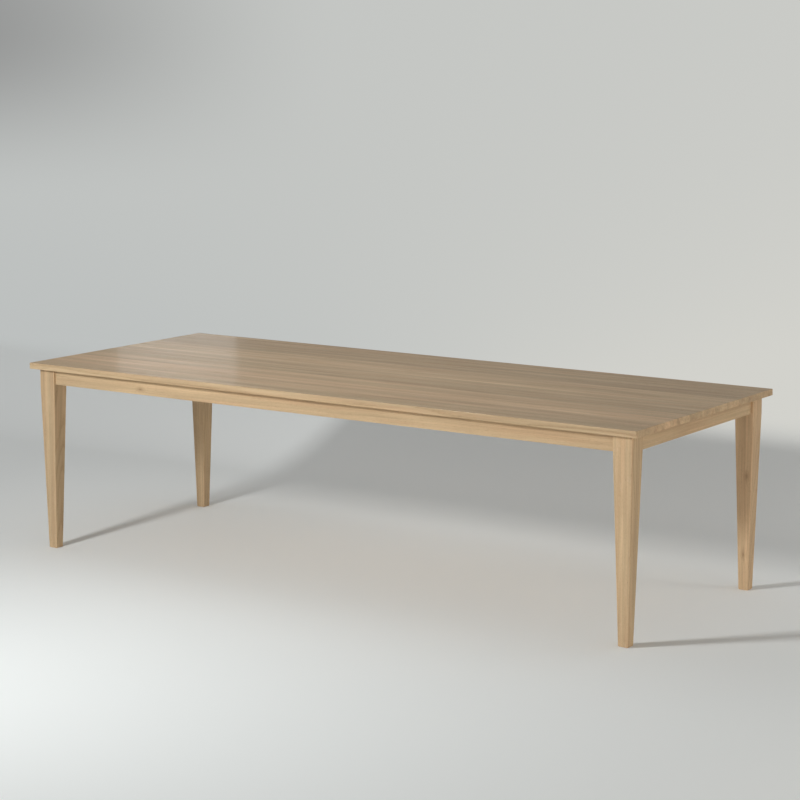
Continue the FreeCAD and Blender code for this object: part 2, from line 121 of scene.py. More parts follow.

# %% [markdown]
# ## What lies behind the table
# Behind the table is a plain studio backdrop. Its tone is painted light and shade: paler and warmer from
# left to right, as more light falls on it there, and a painted shade in a dim corner at the far left.
# Walls could be modelled, but they would get in the way when the camera walks round the table. The world,
# which
# is infinitely far off, stands for them: it works out a tone from the direction one looks in. The limits
# below are parts of such a direction, so they lie between -1 and 1.

# %% Paint what the camera sees of the world
# LEFT_AIR to RIGHT_AIR is painted light on the backdrop, paler where more light falls; DIM_AIR is painted
# shade.
LEFT_AIR = (0.503, 0.524, 0.519, 1.0)
RIGHT_AIR = (0.645, 0.642, 0.603, 1.0)
UPPER_AIR = (0.280, 0.280, 0.270, 1.0)
DIM_AIR = (0.275, 0.278, 0.276, 1.0)
LEFTMOST = -1.0
RIGHTMOST = 0.05
DIM_FROM = -0.58
DIM_TO = -0.74
DIM_END = -0.95
DIM_HEIGHT = (0.12, 0.0)
UPPER_HEIGHT = (0.1, 0.9)


def blend_colours(tree, share, first, second):
    """Mix two colours or sockets by share."""
    return add_node(tree, "ShaderNodeMix", {0: share, 6: first, 7: second}, data_type="RGBA").outputs[2]


def sideways(tree, direction):
    """How far to the right a direction points on the floor plan, from -1 to 1."""
    flat = vector_work(tree, "NORMALIZE", vector_work(tree, "MULTIPLY", direction, (1.0, 1.0, 0.0)))
    return add_node(tree, "ShaderNodeSeparateXYZ", {0: flat}).outputs["X"]


def horizon_tone(tree, direction):
    """The tone of the studio at the horizon, painted paler from left to right where more light falls."""
    share = fade(tree, sideways(tree, direction), LEFTMOST, RIGHTMOST)
    return blend_colours(tree, share, LEFT_AIR, RIGHT_AIR)


def dim_far_left(tree, tone, direction, far):
    """Let a tone sink into the painted shade of the dim corner at the far left, by the share called far.
    """
    side = sideways(tree, direction)
    begun = fade(tree, side, DIM_FROM, DIM_TO)
    not_ended = fade(tree, side, DIM_END, DIM_TO)
    share = work_out(tree, "MULTIPLY", work_out(tree, "MULTIPLY", begun, not_ended), far)
    return blend_colours(tree, share, tone, DIM_AIR)


world = bpy.data.worlds.new("studio_air")
world.use_nodes = True
bpy.context.scene.world = world
tree = world.node_tree
direction = tree.nodes.new("ShaderNodeTexCoord").outputs["Generated"]
parts = add_node(tree, "ShaderNodeSeparateXYZ", {0: direction}).outputs
low = fade(tree, parts["Z"], *DIM_HEIGHT)
horizon = dim_far_left(tree, horizon_tone(tree, direction), direction, low)
backdrop = blend_colours(tree, fade(tree, parts["Z"], *UPPER_HEIGHT), horizon, UPPER_AIR)
print("backdrop painted")

# %% [markdown]
# ## Soft light from all round
# In the portrait no side of the table is black: pale walls throw light back from every side, and the
# ceiling throws less. Many large lamps could do that. The world does it with less work, because rays that
# gather light may find something else in it than the camera does: a low bright wall in front, a dimmer one
# behind that gets brighter to the right, and a dim ceiling.

# %% Hang the walls of light
FRONT_WALL = (0.94, 0.94, 0.94, 1.0)
BACK_LEFT_WALL = (0.325, 0.328, 0.325, 1.0)
BACK_RIGHT_WALL = (0.56, 0.555, 0.54, 1.0)
CEILING = (0.265, 0.266, 0.258, 1.0)
NO_LIGHT = (0.0, 0.0, 0.0, 1.0)
FRONT_WALL_TOP = (0.2, 0.5)
SOFT_CORNER = (-0.3, 0.3)
CEILING_EDGE = (0.6, 0.9)


def seen_directly(tree):
    """1 for rays of the camera, of reflections and through glass, 0 for rays that gather light."""
    rays = tree.nodes.new("ShaderNodeLightPath").outputs
    seen = work_out(tree, "MAXIMUM", rays["Is Camera Ray"], rays["Is Glossy Ray"])
    return work_out(tree, "MAXIMUM", seen, rays["Is Transmission Ray"])


front = blend_colours(tree, fade(tree, parts["Z"], *FRONT_WALL_TOP), FRONT_WALL, NO_LIGHT)
back = blend_colours(tree, fade(tree, parts["X"], *SOFT_CORNER), BACK_LEFT_WALL, BACK_RIGHT_WALL)
walls = blend_colours(tree, fade(tree, parts["Y"], *SOFT_CORNER), front, back)
light = blend_colours(tree, fade(tree, parts["Z"], *CEILING_EDGE), walls, CEILING)
air = blend_colours(tree, seen_directly(tree), light, backdrop)
tree.links.new(air, tree.nodes["Background"].inputs["Color"])
print("world light hung")

# %% [markdown]
# ## The studio floor
# The table stands on a wide floor that curves up behind it, as a roll of background paper does. The
# portrait shows the curve only by the table's shadow, which bends upward there. A flat plane would be
# simpler, but the shadow on it would lie too low. So the floor is one very large sheet of strips: level
# until just behind the table, then narrow strips that climb in a soft S, then level again, low enough to
# leave the table in sight from behind.

# %% Lay the floor
FLOOR_REACH = 400.0
SWEEP_START = 1.15
SWEEP_LENGTH = 1.26
SWEEP_RISE = 0.40
SWEEP_STEPS = 40


def sweep_height(share):
    """A smooth step from the floor to the raised back of the paper."""
    return SWEEP_RISE * share * share * (3.0 - 2.0 * share)


rows = [(-FLOOR_REACH, 0.0)]
for step in range(SWEEP_STEPS + 1):
    share = step / SWEEP_STEPS
    rows.append((SWEEP_START + SWEEP_LENGTH * share, sweep_height(share)))
rows.append((FLOOR_REACH, SWEEP_RISE))
points = [(x, y, z) for y, z in rows for x in (-FLOOR_REACH, FLOOR_REACH)]
strips = [(2 * row, 2 * row + 1, 2 * row + 3, 2 * row + 2) for row in range(len(rows) - 1)]
floor_mesh = bpy.data.meshes.new("studio_floor")
floor_mesh.from_pydata(points, [], strips)
floor_mesh.polygons.foreach_set("use_smooth", [True] * len(strips))
floor = bpy.data.objects.new("studio_floor", floor_mesh)
bpy.context.collection.objects.link(floor)
lens.clip_end = 2.0 * FLOOR_REACH
print("floor laid,", 2 * FLOOR_REACH, "m across, rising by", SWEEP_RISE, "m behind the table")

# %% [markdown]
# ### Matt paint
# The floor is matt, so the lamps leave no bright spots in it. One flat colour would do, but a real floor
# is never quite even. A slow noise moves the paint between two tones that lie close together.

# %% Paint the floor
FLOOR_PAINT = (0.915, 0.935, 0.93, 1.0)
FLOOR_PAINT_WORN = (0.895, 0.915, 0.91, 1.0)
WEAR_SCALE = 0.7
WEAR_DETAIL = 3.0
MATT = 0.85
PAINT_GLOSS = 0.1


def plain_noise(tree, place, scale, detail):
    """Noise with about scale grains to the metre."""
    inputs = {"Vector": place, "Scale": scale, "Detail": detail}
    return add_node(tree, "ShaderNodeTexNoise", inputs).outputs["Fac"]


floor_paint = bpy.data.materials.new("matt_floor_paint")
floor_paint.use_nodes = True
tree = floor_paint.node_tree
place = tree.nodes.new("ShaderNodeTexCoord").outputs["Object"]
wear = plain_noise(tree, place, WEAR_SCALE, WEAR_DETAIL)
paint = blend_colours(tree, wear, FLOOR_PAINT, FLOOR_PAINT_WORN)
shader = tree.nodes["Principled BSDF"]
tree.links.new(paint, shader.inputs["Base Color"])
shader.inputs["Roughness"].default_value = MATT
shader.inputs["Specular IOR Level"].default_value = PAINT_GLOSS
floor.data.materials.append(floor_paint)
print("floor painted")

# %% [markdown]
# ### No line at the horizon
# In the portrait the floor runs on into the background with no line between the two. A mist could hide
# such a line, but it would grey the table too. Here the floor near the table is paint that takes the
# shadows; further off, and where the paper has climbed, it fades into a glow of the tone that the backdrop
# has there, with the backdrop's painted light and painted shade. The dim corner's painted shade is carried
# on over the far floor, as it looks from the photographer's stand. Only direct looks and reflections get
# the fade, so the light on the table stays as it is.

# %% Fade the floor into the air
FADE_START = 2.2
FADE_END = 6.5
SWEEP_FADE = (0.23, 0.35)
CORNER_START = 22.0
STAND = (4.75, -6.93, 0.0)


def vector_length(tree, vector):
    """The length of a vector."""
    return add_node(tree, "ShaderNodeVectorMath", {0: vector}, operation="LENGTH").outputs["Value"]


rise = add_node(tree, "ShaderNodeSeparateXYZ", {0: place}).outputs["Z"]
gone_far = fade(tree, vector_length(tree, place), FADE_START, FADE_END)
gone_up = fade(tree, rise, *SWEEP_FADE)
share = work_out(tree, "MAXIMUM", gone_far, gone_up)
share = work_out(tree, "MULTIPLY", share, seen_directly(tree))
away = vector_work(tree, "SUBTRACT", place, STAND)
nearness = work_out(tree, "DIVIDE", 1.0, vector_length(tree, away))
far = fade(tree, nearness, 1.0 / CORNER_START, 0.0)
# The glow carries the backdrop's painted light, paler to the right, and the painted shade of its dim
# corner.
tone = dim_far_left(tree, horizon_tone(tree, place), away, far)
glow = add_node(tree, "ShaderNodeEmission", {"Color": tone})
blend = add_node(tree, "ShaderNodeMixShader", {0: share, 1: shader.outputs[0], 2: glow.outputs[0]})
tree.links.new(blend.outputs[0], tree.nodes["Material Output"].inputs["Surface"])
print("floor fades from", FADE_START, "to", FADE_END, "m")

# %% [markdown]
# ## The lamps
# The shadows of the legs run back and to the right, so the main lamp stands at the front, left of the
# table's middle, about as high as a person. It is a soft box, so the shadows blur as they get longer. A
# warm soft box at the right lights the right sides of the legs, and a weak one hangs overhead. On the left
# end of the top lies a pale band of sheen: that is the mirror image of a lamp behind the table. The last
# two brighten the paper left of the table's shadow and behind it. Lamps could be points, but only lamps
# with a real size give soft shadows and believable reflections.

# %% Stand the lamps
WHITE = (1.0, 1.0, 1.0)
# Each row: name, place, the spot it faces, width and height in metres, watts, tint
LAMPS = (
    ("main_soft_box", (-1.13, -3.0, 1.85), (1.5, -0.5, 0.3), 0.45, 0.35, 72.0, (0.98, 1.0, 1.0)),
    ("side_soft_box", (4.6, -1.4, 0.7), (0.6, 0.2, 0.4), 1.6, 0.9, 22.0, (1.0, 0.91, 0.79)),
    ("ceiling_soft_box", (-0.5, 0.0, 2.4), (-0.5, 0.0, 0.0), 2.0, 1.2, 5.0, WHITE),
    ("strip_behind", (-3.56, 3.0, 1.0), (-3.56, 0.0, 1.0), 0.9, 1.2, 5.0, WHITE),
    ("back_left_soft_box", (-4.4, -0.6, 1.6), (-2.7, 0.9, 0.0), 1.2, 1.2, 7.0, WHITE),
    ("back_right_soft_box", (2.8, 1.0, 1.2), (1.2, 2.6, 0.2), 1.0, 1.0, 5.0, WHITE),
)


def stand_lamp(name, place, aim, width, height, power, tint):
    """A rectangular soft lamp at place that faces aim; the camera doesn't see it."""
    lamp = bpy.data.lights.new(name, "AREA")
    lamp.shape = "RECTANGLE"
    lamp.size = width
    lamp.size_y = height
    lamp.energy = power
    lamp.color = tint
    stand = bpy.data.objects.new(name, lamp)
    stand.location = place
    stand.rotation_euler = (Vector(aim) - Vector(place)).to_track_quat("-Z", "Y").to_euler()
    stand.visible_camera = False
    bpy.context.collection.objects.link(stand)
    return stand


lamps = {row[0]: stand_lamp(*row) for row in LAMPS}
print("lamps standing:", list(lamps))

# %% [markdown]
# ### A lamp that thins out slowly
# Light from a lamp gets weaker with the square of the distance, so the left of the table would be much
# brighter than the right. In the portrait the difference is small, as with a lamp that is bigger or
# further off. Moving the lamp would also move the shadows, which are right. So it stays where it is, and
# its light gets weaker with the plain distance instead.

# %% Let the main lamp thin out slowly
FULL_AT = 3.4

main = lamps["main_soft_box"].data
main.use_nodes = True
tree = main.node_tree
slow = add_node(tree, "ShaderNodeLightFalloff", {"Strength": 1.0 / FULL_AT}).outputs["Linear"]
tree.links.new(slow, tree.nodes["Emission"].inputs["Strength"])
print("main lamp at its plain strength", FULL_AT, "m off")

# %% [markdown]
# ## How a tree becomes a board
# Oak looks as it does because a board is a slice of a trunk. Rings lie round the pith; each ring starts
# with a band of open pores and ends in dense wood; rays run outward from the pith like spokes; and all of
# it stretches along the trunk. A flat picture of grain wrapped on a board can't show the same ring on the
# face, the edge and the end. So the recipe below is solid: it works out, for any point in space, how far
# it lies from the pith, and colours it from that. End grain then shows arcs and the faces show lines with
# no extra work.

# %% Start the oak recipe
oak = bpy.data.node_groups.new("oak_recipe", "ShaderNodeTree")
for name, kind in (("Place", "Vector"), ("Grain", "Vector"), ("Tone", "Float"), ("Figure", "Float"),
                   ("Blush", "Float"), ("Knot", "Vector"), ("Second Knot", "Vector")):
    oak.interface.new_socket(name, in_out="INPUT", socket_type=f"NodeSocket{kind}")
for name, kind in (("Color", "Color"), ("Roughness", "Float"), ("Relief", "Float"), ("Gloss", "Float")):
    oak.interface.new_socket(name, in_out="OUTPUT", socket_type=f"NodeSocket{kind}")
given = oak.nodes.new("NodeGroupInput").outputs
made = oak.nodes.new("NodeGroupOutput").inputs
print("oak recipe takes", [socket.name for socket in given if socket.name])

# %% [markdown]
# ### A trunk that isn't quite straight
# Real grain wanders a centimetre or so over a metre. A curve could be drawn for every board, but a slow
# noise does the same for all: stretched along the trunk, it pushes each point sideways before the point's
# distance from the pith is measured.

# %% Bend the trunk
WANDER = 0.026
DRIFT_GRAIN = (0.9, 6.0, 6.0)
MID_GREY = (0.5, 0.5, 0.5)


def stretched_noise(tree, place, squeeze, detail=2.0):
    """Noise whose grains are 1/squeeze metres long in each direction."""
    spot = vector_work(tree, "MULTIPLY", place, squeeze)
    return add_node(tree, "ShaderNodeTexNoise", {"Vector": spot, "Scale": 1.0, "Detail": detail})


drift = stretched_noise(oak, given["Place"], DRIFT_GRAIN).outputs["Color"]
drift = vector_work(oak, "SUBTRACT", drift, MID_GREY)
drift = vector_work(oak, "MULTIPLY", drift, (0.0, WANDER, WANDER))
bent = vector_work(oak, "ADD", given["Place"], drift)
bent_axes = add_node(oak, "ShaderNodeSeparateXYZ", {0: bent}).outputs
print("trunk wanders by up to", WANDER / 2, "m")

# %% [markdown]
# ### Knots
# A knot is the root of a branch: a dark core, a brown halo, and rings that give way round it. It could be
# painted on, but paint would show on one face only. Here a knot is a spot inside the wood, and everything
# follows from how far a point lies from it. A piece may have two; the nearer one counts.

# %% Measure knots
KNOT_SHAPE = (0.45, 1.0, 1.0)
KNOT_REACH = 0.022
KNOT_PUSH = 0.009
KNOT_CORE = (0.0012, 0.0055)
KNOT_HALO = (0.003, 0.016)


def knot_distance(knot):
    """How far a point lies from a knot, in metres, with the knot drawn out along the grain."""
    gap = vector_work(oak, "SUBTRACT", given["Place"], knot)
    return vector_length(oak, vector_work(oak, "MULTIPLY", gap, KNOT_SHAPE))


knot_gap = work_out(oak, "MINIMUM", knot_distance(given["Knot"]), knot_distance(given["Second Knot"]))
knot_push = fade(oak, knot_gap, 0.0, KNOT_REACH, KNOT_PUSH, 0.0)
knot_core = fade(oak, knot_gap, *KNOT_CORE, 1.0, 0.0)
knot_halo = fade(oak, knot_gap, *KNOT_HALO, 1.0, 0.0)
print("a knot moves the rings within", KNOT_REACH * 1000, "mm")

# %% [markdown]
# ### Rings
# The distance from the pith, divided by the width of a year's growth, counts the rings. A plain striped
# texture would give rings of one width; a slow noise over the years makes some wide and some narrow. The
# part after the decimal point tells how far through the year a point lies: near 0 is open spring wood,
# then it closes up. The whole number gives each year a tone of its own.

# %% Count the rings
RING_WIDTH = 0.0034
SLOW_YEARS = 0.16
GROWTH_SWING = 3.0
SPRING_SEASON = (0.10, 0.55)

across = work_out(oak, "POWER", bent_axes["Y"], 2.0)
across = work_out(oak, "MULTIPLY_ADD", bent_axes["Z"], bent_axes["Z"], across)
from_pith = work_out(oak, "ADD", work_out(oak, "SQRT", across), knot_push)
years = work_out(oak, "DIVIDE", from_pith, RING_WIDTH)
inputs = {"W": years, "Scale": SLOW_YEARS, "Detail": 2.0}
slow_years = add_node(oak, "ShaderNodeTexNoise", inputs, noise_dimensions="1D").outputs["Fac"]
years = work_out(oak, "MULTIPLY_ADD", slow_years, GROWTH_SWING, years)
spring_wood = fade(oak, work_out(oak, "FRACT", years), *SPRING_SEASON, 1.0, 0.0)
year_number = work_out(oak, "FLOOR", years)
year_noise = add_node(oak, "ShaderNodeTexWhiteNoise", {"W": year_number}, noise_dimensions="1D")
year_tone = year_noise.outputs["Value"]
print("one ring is", RING_WIDTH * 1000, "mm wide on average")

# %% [markdown]
# ### Pores and rays
# Pores are short dark dashes along the grain, thickest in spring wood. Rays are thin sheets that point at
# the pith; where a saw runs along one, it shows as a pale satin fleck. There are far too many to draw. A
# noise squeezed across the grain makes the dashes: where it passes a limit there is a pore, and spring
# wood lowers the limit. The rays are the same kind of noise, laid out by the angle round the pith.

# %% Open the pores and lay the rays
PORE_GRAIN = (95.0, 2600.0, 2600.0)
PORE_LIMIT = 0.70
SPRING_OPENS = -0.13
PORE_EDGE = 0.05
RAY_GRAIN = (34.0, 95.0, 70.0)
RAY_LIMIT = (0.62, 0.70)

pore_noise = stretched_noise(oak, given["Place"], PORE_GRAIN, 1.0).outputs["Fac"]
pore_limit = work_out(oak, "MULTIPLY_ADD", spring_wood, SPRING_OPENS, PORE_LIMIT)
pores = fade(oak, work_out(oak, "SUBTRACT", pore_noise, pore_limit), 0.0, PORE_EDGE)
angle = work_out(oak, "ARCTAN2", bent_axes["Z"], bent_axes["Y"])
inputs = {"X": bent_axes["X"], "Y": angle, "Z": from_pith}
spokes = add_node(oak, "ShaderNodeCombineXYZ", inputs).outputs[0]
ray_noise = stretched_noise(oak, spokes, RAY_GRAIN, 1.5).outputs["Fac"]
ray_sheets = fade(oak, ray_noise, *RAY_LIMIT)
print("pores are about", round(1000 / PORE_GRAIN[0], 1), "mm long")

# %% [markdown]
# ### From structure to colour
# Now the parts are mixed: pale straw for dense wood, a little redder in places, a warmer tan for spring
# wood, pale rays, and brown in the pores and knots. A picture of oak could give these colours, but only
# this way do they follow the rings. Two inputs let the pieces differ: Figure tells how strongly the grain
# shows, and Blush how red the wood is.

# %% Mix the colour
DENSE_OAK = (0.572, 0.422, 0.260, 1.0)
SPRING_OAK = (0.475, 0.326, 0.184, 1.0)
PORE_BROWN = (0.235, 0.145, 0.075, 1.0)
RAY_STRAW = (0.600, 0.455, 0.305, 1.0)
KNOT_BROWN = (0.215, 0.128, 0.066, 1.0)
BLUSH_OAK = (0.520, 0.345, 0.208, 1.0)
PLAIN_OAK = (0.542, 0.388, 0.234, 1.0)
BLUSH_GRAIN = (1.8, 45.0, 45.0)
BLUSH_LIMIT = (0.42, 0.68)
SPRING_STAIN = 0.62
RAY_STAIN = 0.45
PORE_STAIN = 0.62
HALO_STAIN = 0.30
CORE_STAIN = 0.45


def stain(wood, mask, strength, colour):
    """Bring a colour into the oak where a mask asks for it."""
    return blend_colours(oak, work_out(oak, "MULTIPLY", mask, strength), wood, colour)


blush = stretched_noise(oak, given["Place"], BLUSH_GRAIN).outputs["Fac"]
wood = blend_colours(oak, fade(oak, blush, *BLUSH_LIMIT), DENSE_OAK, BLUSH_OAK)
wood = stain(wood, spring_wood, SPRING_STAIN, SPRING_OAK)
wood = stain(wood, ray_sheets, RAY_STAIN, RAY_STRAW)
wood = blend_colours(oak, given["Figure"], PLAIN_OAK, wood)
wood = blend_colours(oak, given["Blush"], wood, BLUSH_OAK)
wood = stain(wood, pores, PORE_STAIN, PORE_BROWN)
wood = stain(wood, knot_halo, HALO_STAIN, PORE_BROWN)
wood = stain(wood, knot_core, CORE_STAIN, KNOT_BROWN)
print("oak colours mixed")

# %% [markdown]
# ### Streaks
# From a few steps away no pore shows. What does show is streaks, broad and narrow, that run the length of
# the board, and years that are darker than others. They could be colours of their own, but it is simpler
# to let them brighten and darken what is there: each is a factor round 1, and the factors are multiplied.

# %% Draw the streaks
BROAD_GRAIN = (1.3, 28.0, 28.0)
NARROW_GRAIN = (4.5, 150.0, 150.0)
BROAD_SWING = 0.85
NARROW_SWING = 0.60
YEAR_SWING = 0.12
SLOW_YEAR_SWING = 0.40


def around_one(noise, swing):
    """A factor that swings round 1 while a noise goes from 0 to 1."""
    return work_out(oak, "MULTIPLY_ADD", noise, swing, 1.0 - swing / 2)


broad = stretched_noise(oak, given["Place"], BROAD_GRAIN, 3.0).outputs["Fac"]
narrow = stretched_noise(oak, given["Place"], NARROW_GRAIN).outputs["Fac"]
fine_streak = around_one(narrow, NARROW_SWING)
tone = work_out(oak, "MULTIPLY", around_one(broad, BROAD_SWING), fine_streak)
tone = work_out(oak, "MULTIPLY", tone, around_one(year_tone, YEAR_SWING))
tone = work_out(oak, "MULTIPLY", tone, around_one(slow_years, SLOW_YEAR_SWING))
tone = work_out(oak, "MULTIPLY_ADD", work_out(oak, "SUBTRACT", tone, 1.0), given["Figure"], 1.0)
print("broad streaks are about", round(100 / BROAD_GRAIN[1], 1), "cm wide")

# %% [markdown]
# ### End grain and arrises
# End grain drinks more finish and goes darker. Arrises, the eased corners, are painted a little paler:
# partly wear from hands, partly a painted highlight where the corner catches the light. Both could be
# separate materials on chosen faces. But which way a face looks is enough to tell: a face that looks
# along the grain is end grain, and one that looks along none of the table's three directions is an arris.

# %% Darken the end grain and make the arrises paler, with wear and a painted highlight
END_FACING = (0.55, 0.92)
END_TONE = 0.96
ARRIS_FACING = (0.90, 0.995)
# How much paler the arrises are painted: part wear, part painted highlight.
ARRIS_WEAR_AND_HIGHLIGHT = 0.10

facing = oak.nodes.new("ShaderNodeNewGeometry").outputs["Normal"]
along = add_node(oak, "ShaderNodeVectorMath", {0: facing, 1: given["Grain"]}, operation="DOT_PRODUCT")
end_grain = fade(oak, work_out(oak, "ABSOLUTE", along.outputs["Value"]), *END_FACING)
tone = work_out(oak, "MULTIPLY", tone, fade(oak, end_grain, 0.0, 1.0, 1.0, END_TONE))

shares = add_node(oak, "ShaderNodeSeparateXYZ", {0: vector_work(oak, "ABSOLUTE", facing)}).outputs
squareness = work_out(oak, "MAXIMUM", shares["X"], shares["Y"])
squareness = work_out(oak, "MAXIMUM", squareness, shares["Z"])
arris = fade(oak, squareness, *ARRIS_FACING, 1.0, 0.0)
# Painted highlight, partly wear: the arrises' colour is made paler, as where an eased corner catches the
# light.
tone = work_out(oak, "MULTIPLY", tone, work_out(oak, "MULTIPLY_ADD", arris, ARRIS_WEAR_AND_HIGHLIGHT, 1.0))
tone = work_out(oak, "MULTIPLY", tone, given["Tone"])
toned = add_node(oak, "ShaderNodeVectorMath", {0: wood, "Scale": tone}, operation="SCALE").outputs[0]
oak.links.new(toned, made["Color"])
print("end grain at", END_TONE, "and arrises at", 1.0 + ARRIS_WEAR_AND_HIGHLIGHT, "of the tone")

# %% [markdown]
# ### Sheen and relief
# Planed oak is satin. Pores, spring wood and end grain are duller, rays and rubbed arrises glossier. Pores
# are also small pits, and spring wood lies a little lower. At less than half a millimetre across, the
# pits are too small to model, so a height goes to a bump node. The last output, Gloss, lets the lacquer
# lie unevenly, streak by streak.

# %% Shape the sheen and the relief
SATIN = 0.40
GLOSS_LIMIT = (0.36, 0.64)
GLOSS_SPAN = (0.45, 1.55)


def add_up(start, changes):
    """A start value plus each mask times its change."""
    total = start
    for mask, change in changes:
        total = work_out(oak, "MULTIPLY_ADD", mask, change, total)
    return total


duller = ((pores, 0.22), (spring_wood, 0.05), (ray_sheets, -0.05), (end_grain, 0.15), (arris, -0.06))
higher = ((pores, -1.0), (spring_wood, -0.25), (fine_streak, 0.6))
oak.links.new(add_up(SATIN, duller), made["Roughness"])
oak.links.new(add_up(0.0, higher), made["Relief"])
oak.links.new(fade(oak, narrow, *GLOSS_LIMIT, *GLOSS_SPAN), made["Gloss"])
print("oak recipe has", len(oak.nodes), "nodes")

# %% [markdown]
# ## A thin satin lacquer
# The oak has a thin clear lacquer that gives the top its pale sheen at a flat angle. It could be a second,
# glassy skin round each piece, but a coat this thin has no edge to see. The shader has a coat of its own:
# the recipe gives colour, dullness and relief to the wood below it, and each piece says how strong its
# coat is.

# %% Lay the finish
RELIEF_STRENGTH = 0.35
RELIEF_DEPTH = 0.0004
BARE_GLOSS = 0.03
COAT_SATIN = 0.12


def lay_finish(tree, wood, coat):
    """Wire the oak recipe to the shader: its colour, sheen and relief, and a satin lacquer on top."""
    shader = tree.nodes["Principled BSDF"]
    tree.links.new(wood["Color"], shader.inputs["Base Color"])
    tree.links.new(wood["Roughness"], shader.inputs["Roughness"])
    inputs = {"Height": wood["Relief"], "Strength": RELIEF_STRENGTH, "Distance": RELIEF_DEPTH}
    relief = add_node(tree, "ShaderNodeBump", inputs)
    tree.links.new(relief.outputs["Normal"], shader.inputs["Normal"])
    shader.inputs["Specular IOR Level"].default_value = BARE_GLOSS
    tree.links.new(work_out(tree, "MULTIPLY", wood["Gloss"], coat), shader.inputs["Coat Weight"])
    shader.inputs["Coat Roughness"].default_value = COAT_SATIN


print("finish ready")

# %% [markdown]
# ## One recipe, many trees
# Each board of a real table comes from its own place in its own tree. A recipe per piece would be hard to
# change later. So there is one, and each piece only gets its own view of it: which way the grain runs,
# where the pith of its tree lay, how pale and how red it is, how strongly its grain shows, and where its
# knots are. A mapping node turns the piece so that its grain runs along X, and slides the pith to where
# that tree had it. The trees are drawn by chance, from a fixed start, so every run draws the same.

# %% Cut a piece from its tree
LEAN = 0.012
PITH_REACH = (0.05, 0.13)
TRUNK_RUN = 30.0
NO_KNOT = (0.0, 50.0, 0.0)
chance = random.Random(11)


def seat_in_tree(centre, grain, pith_reach):
    """A turn that lays the grain along X, and a shift that gives the piece its own place in a trunk."""
    lean = Matrix.Rotation(chance.uniform(-LEAN, LEAN), 3, "Z")
    lean = lean @ Matrix.Rotation(chance.uniform(-LEAN, LEAN), 3, "Y")
    turn = lean @ Vector(grain).normalized().rotation_difference(Vector((1, 0, 0))).to_matrix()
    reach = chance.uniform(*pith_reach)
    side = chance.uniform(0.0, 2.0 * math.pi)
    pith = Vector((chance.uniform(0.0, TRUNK_RUN), reach * math.cos(side), reach * math.sin(side)))
    return turn, pith - turn @ centre


def cut_from_tree(name, grain, tone=1.0, knots=(), coat=0.0, pith_reach=PITH_REACH, figure=1.0, blush=0.0):
    """An oak finish for one piece, with its own grain, tone, knots, lacquer, figure and redness."""
    low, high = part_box(name)
    turn, shift = seat_in_tree((low + high) / 2, grain, pith_reach)
    finish = bpy.data.materials.new(f"oak_{name}")
    finish.use_nodes = True
    tree = finish.node_tree
    spot = tree.nodes.new("ShaderNodeTexCoord").outputs["Object"]
    inputs = {"Vector": spot, "Location": shift, "Rotation": turn.to_euler()}
    seat = add_node(tree, "ShaderNodeMapping", inputs)
    knot_spots = [turn @ Vector(knot) + shift for knot in knots]
    knot_spots += [Vector(NO_KNOT)] * (2 - len(knot_spots))
    inputs = {"Place": seat.outputs[0], "Grain": Vector(grain).normalized(), "Tone": tone,
              "Figure": figure, "Blush": blush, "Knot": knot_spots[0], "Second Knot": knot_spots[1]}
    recipe = add_node(tree, "ShaderNodeGroup", inputs, node_tree=oak)
    lay_finish(tree, recipe.outputs, coat)
    return finish


print("trees chosen")

# %% [markdown]
# ## Eleven boards make the top
# Seen from above, the top is bands of slightly different oak, and on its right end the blocks of end grain
# differ too. One wide slab with painted bands would look the same from above, but not at its ends. Each
# board is its own object, so each gets its own tree, with a tone and a redness matched to the portrait.
# The front board has the calmest grain. The tongues between the boards share one tree.

# %% Finish the top boards
BOARD_TONES = (0.98, 1.065, 1.165, 1.065, 0.965, 0.99, 1.095, 1.055, 0.91, 0.925, 0.94)
BOARD_BLUSH = (0.0, 0.35, 0.45, 0.2, 0.0, 0.1, 0.0, 0.15, 0.0, 0.1, 0.25)
BOARD_FIGURE = (0.6,) + 10 * (0.8,)
LACQUER = 0.10
ALONG_X = (1.0, 0.0, 0.0)


def dress(name, finish):
    """Give a piece of the frame its finish."""
    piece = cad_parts[name]
    piece.data.materials.clear()
    piece.data.materials.append(finish)


for number, (tone, blush, figure) in enumerate(zip(BOARD_TONES, BOARD_BLUSH, BOARD_FIGURE), 1):
    board = f"top_board_{number}"
    dress(board, cut_from_tree(board, ALONG_X, tone, coat=LACQUER, figure=figure, blush=blush))
tongue_oak = cut_from_tree("top_tongue_1", ALONG_X)
for number in range(1, len(BOARD_TONES)):
    dress(f"top_tongue_{number}", tongue_oak)
print("boards finished:", len(BOARD_TONES))

# %% [markdown]
# ## Legs and aprons
# The legs are cut from straight-grown squares with the grain upright, the aprons from rails with the grain
# along them. One finish for all eight would be quicker, but then the same streak would show on every leg.
# The back right leg is a little redder and shows two small knots, and the front apron has a knot in its
# left third.

# %% Finish the legs and the aprons
FRAME_LACQUER = 0.05
FRAME_FIGURE = 0.6
STRAIGHT_GROWN = (0.16, 0.30)
APRON_TONE = 1.03
ALONG_Y = (0.0, 1.0, 0.0)
UPRIGHT = (0.0, 0.0, 1.0)
# Each row: corner, tone, redness
LEGS = (("front_left", 0.97, 0.0), ("front_right", 1.02, 0.0),
        ("back_right", 1.02, 0.4), ("back_left", 0.92, 0.0))
KNOTS = {"back_right_leg": ((1.305, 0.435, 0.432), (1.293, 0.4425, 0.135)),
         "front_apron": ((-0.816, -0.493, 0.687),)}

